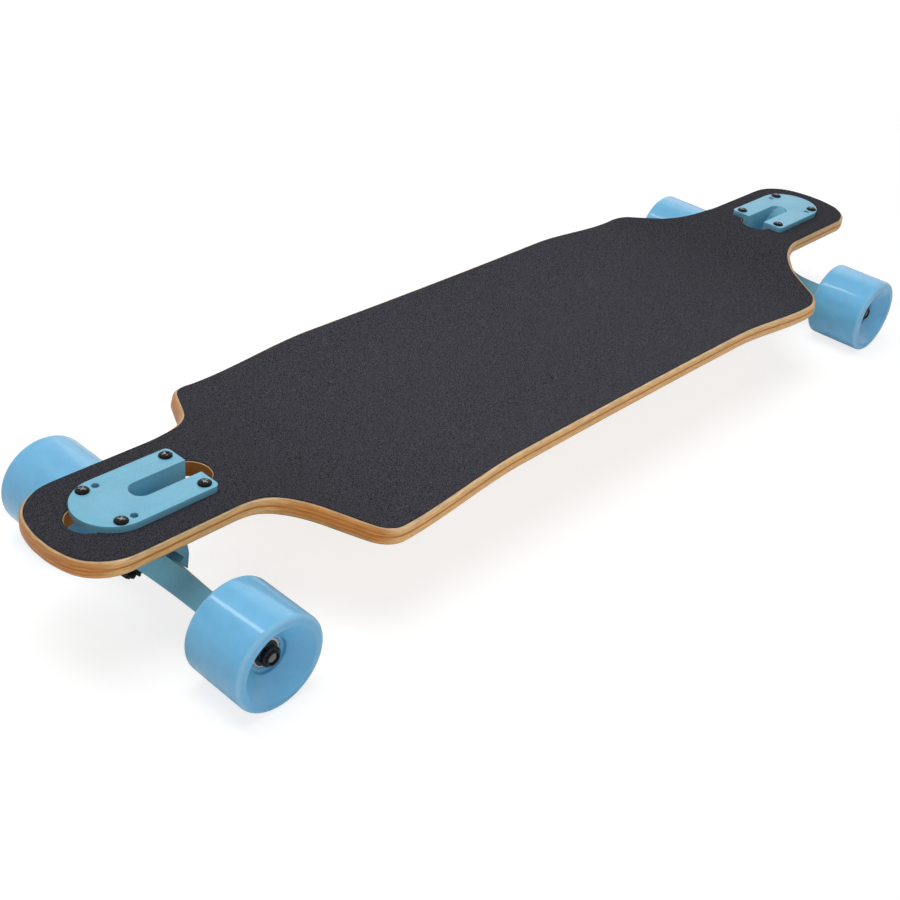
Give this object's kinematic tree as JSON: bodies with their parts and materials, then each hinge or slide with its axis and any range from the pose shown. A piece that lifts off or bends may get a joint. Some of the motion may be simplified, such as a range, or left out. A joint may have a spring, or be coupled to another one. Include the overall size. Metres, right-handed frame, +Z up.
{
  "type": "drop-through longboard",
  "caption": "Drop-through longboard with a dropped concave wooden deck, reverse-kingpin trucks that lean on bushings to steer, and urethane wheels on ball bearings.",
  "frame": {"origin": "on the ground under the middle of the board", "axes": "+X along the board to its front end, +Y to the rider's left, +Z up"},
  "size_m": [0.917, 0.26, 0.1017],
  "materials": {
    "deck": "varnished maple with a dark ply line",
    "grip_tape": "black abrasive sheet",
    "deck_screws": "black oxide",
    "deck_nuts": "black oxide",
    "baseplate": "satin blue powder coat",
    "hanger": "satin blue powder coat",
    "pivot_cup": "black urethane",
    "kingpin": "black oxide",
    "kingpin_nut": "black oxide",
    "boardside_bushing": "black urethane",
    "roadside_bushing": "black urethane",
    "bushing_washers": "black oxide",
    "axle": "turned steel",
    "wheel": "glossy light blue urethane",
    "bearing_outer_rings": "ground steel",
    "bearing_inner_rings": "ground steel",
    "bearing_balls": "polished steel",
    "bearing_cages": "moulded nylon",
    "bearing_shields": "black rubber seal",
    "bearing_spacer": "turned aluminium",
    "speed_washers": "steel",
    "axle_nut": "black oxide"
  },
  "bodies": {
    "board": {"deck": "deck", "grip_tape": "grip_tape", "deck_screws": "deck_screws", "deck_nuts": "deck_nuts", "front_baseplate": "baseplate", "front_pivot_cup": "pivot_cup", "front_kingpin": "kingpin", "front_kingpin_nut": "kingpin_nut", "front_boardside_bushing": "boardside_bushing", "front_roadside_bushing": "roadside_bushing", "front_bushing_washers": "bushing_washers", "rear_baseplate": "baseplate", "rear_pivot_cup": "pivot_cup", "rear_kingpin": "kingpin", "rear_kingpin_nut": "kingpin_nut", "rear_boardside_bushing": "boardside_bushing", "rear_roadside_bushing": "roadside_bushing", "rear_bushing_washers": "bushing_washers"},
    "front_truck": {"front_hanger": "hanger", "front_axle": "axle", "front_left_bearing_inner_rings": "bearing_inner_rings", "front_left_bearing_spacer": "bearing_spacer", "front_left_speed_washers": "speed_washers", "front_left_axle_nut": "axle_nut", "front_right_bearing_inner_rings": "bearing_inner_rings", "front_right_bearing_spacer": "bearing_spacer", "front_right_speed_washers": "speed_washers", "front_right_axle_nut": "axle_nut"},
    "rear_truck": {"rear_hanger": "hanger", "rear_axle": "axle", "rear_left_bearing_inner_rings": "bearing_inner_rings", "rear_left_bearing_spacer": "bearing_spacer", "rear_left_speed_washers": "speed_washers", "rear_left_axle_nut": "axle_nut", "rear_right_bearing_inner_rings": "bearing_inner_rings", "rear_right_bearing_spacer": "bearing_spacer", "rear_right_speed_washers": "speed_washers", "rear_right_axle_nut": "axle_nut"},
    "front_left_wheel": {"front_left_wheel": "wheel", "front_left_bearing_outer_rings": "bearing_outer_rings", "front_left_bearing_shields": "bearing_shields"},
    "front_left_cage": {"front_left_bearing_balls": "bearing_balls", "front_left_bearing_cages": "bearing_cages"},
    "front_right_wheel": {"front_right_wheel": "wheel", "front_right_bearing_outer_rings": "bearing_outer_rings", "front_right_bearing_shields": "bearing_shields"},
    "front_right_cage": {"front_right_bearing_balls": "bearing_balls", "front_right_bearing_cages": "bearing_cages"},
    "rear_left_wheel": {"rear_left_wheel": "wheel", "rear_left_bearing_outer_rings": "bearing_outer_rings", "rear_left_bearing_shields": "bearing_shields"},
    "rear_left_cage": {"rear_left_bearing_balls": "bearing_balls", "rear_left_bearing_cages": "bearing_cages"},
    "rear_right_wheel": {"rear_right_wheel": "wheel", "rear_right_bearing_outer_rings": "bearing_outer_rings", "rear_right_bearing_shields": "bearing_shields"},
    "rear_right_cage": {"rear_right_bearing_balls": "bearing_balls", "rear_right_bearing_cages": "bearing_cages"}
  },
  "joints": [
    {"name": "front_lean", "type": "hinge", "parent": "board", "child": "front_truck", "pos_m": [0.38778, 0, 0.0509], "axis": [0.6428, 0, 0.766], "range_deg": [-18, 18], "stiffness_Nm_per_rad": 60, "deforming": ["front_boardside_bushing", "front_roadside_bushing"]},
    {"name": "rear_lean", "type": "hinge", "parent": "board", "child": "rear_truck", "pos_m": [-0.38778, 0, 0.0509], "axis": [-0.6428, 0, 0.766], "range_deg": [-18, 18], "stiffness_Nm_per_rad": 60, "deforming": ["rear_boardside_bushing", "rear_roadside_bushing"]},
    {"name": "front_left_wheel_spin", "type": "hinge", "parent": "front_truck", "child": "front_left_wheel", "pos_m": [0.3764, 0.103, 0.035], "axis": [0, 1, 0], "continuous": true},
    {"name": "front_left_cage_spin", "type": "hinge", "parent": "front_truck", "child": "front_left_cage", "pos_m": [0.3764, 0.103, 0.035], "axis": [0, 1, 0], "continuous": true},
    {"name": "front_right_wheel_spin", "type": "hinge", "parent": "front_truck", "child": "front_right_wheel", "pos_m": [0.3764, -0.103, 0.035], "axis": [0, 1, 0], "continuous": true},
    {"name": "front_right_cage_spin", "type": "hinge", "parent": "front_truck", "child": "front_right_cage", "pos_m": [0.3764, -0.103, 0.035], "axis": [0, 1, 0], "continuous": true},
    {"name": "rear_left_wheel_spin", "type": "hinge", "parent": "rear_truck", "child": "rear_left_wheel", "pos_m": [-0.3764, 0.103, 0.035], "axis": [0, 1, 0], "continuous": true},
    {"name": "rear_left_cage_spin", "type": "hinge", "parent": "rear_truck", "child": "rear_left_cage", "pos_m": [-0.3764, 0.103, 0.035], "axis": [0, 1, 0], "continuous": true},
    {"name": "rear_right_wheel_spin", "type": "hinge", "parent": "rear_truck", "child": "rear_right_wheel", "pos_m": [-0.3764, -0.103, 0.035], "axis": [0, 1, 0], "continuous": true},
    {"name": "rear_right_cage_spin", "type": "hinge", "parent": "rear_truck", "child": "rear_right_cage", "pos_m": [-0.3764, -0.103, 0.035], "axis": [0, 1, 0], "continuous": true}
  ],
  "couplings": [
    {"joint": "front_left_cage_spin", "follows": "front_left_wheel_spin", "ratio": 0.63207},
    {"joint": "front_right_cage_spin", "follows": "front_right_wheel_spin", "ratio": 0.63207},
    {"joint": "rear_left_cage_spin", "follows": "rear_left_wheel_spin", "ratio": 0.63207},
    {"joint": "rear_right_cage_spin", "follows": "rear_right_wheel_spin", "ratio": 0.63207}
  ]
}
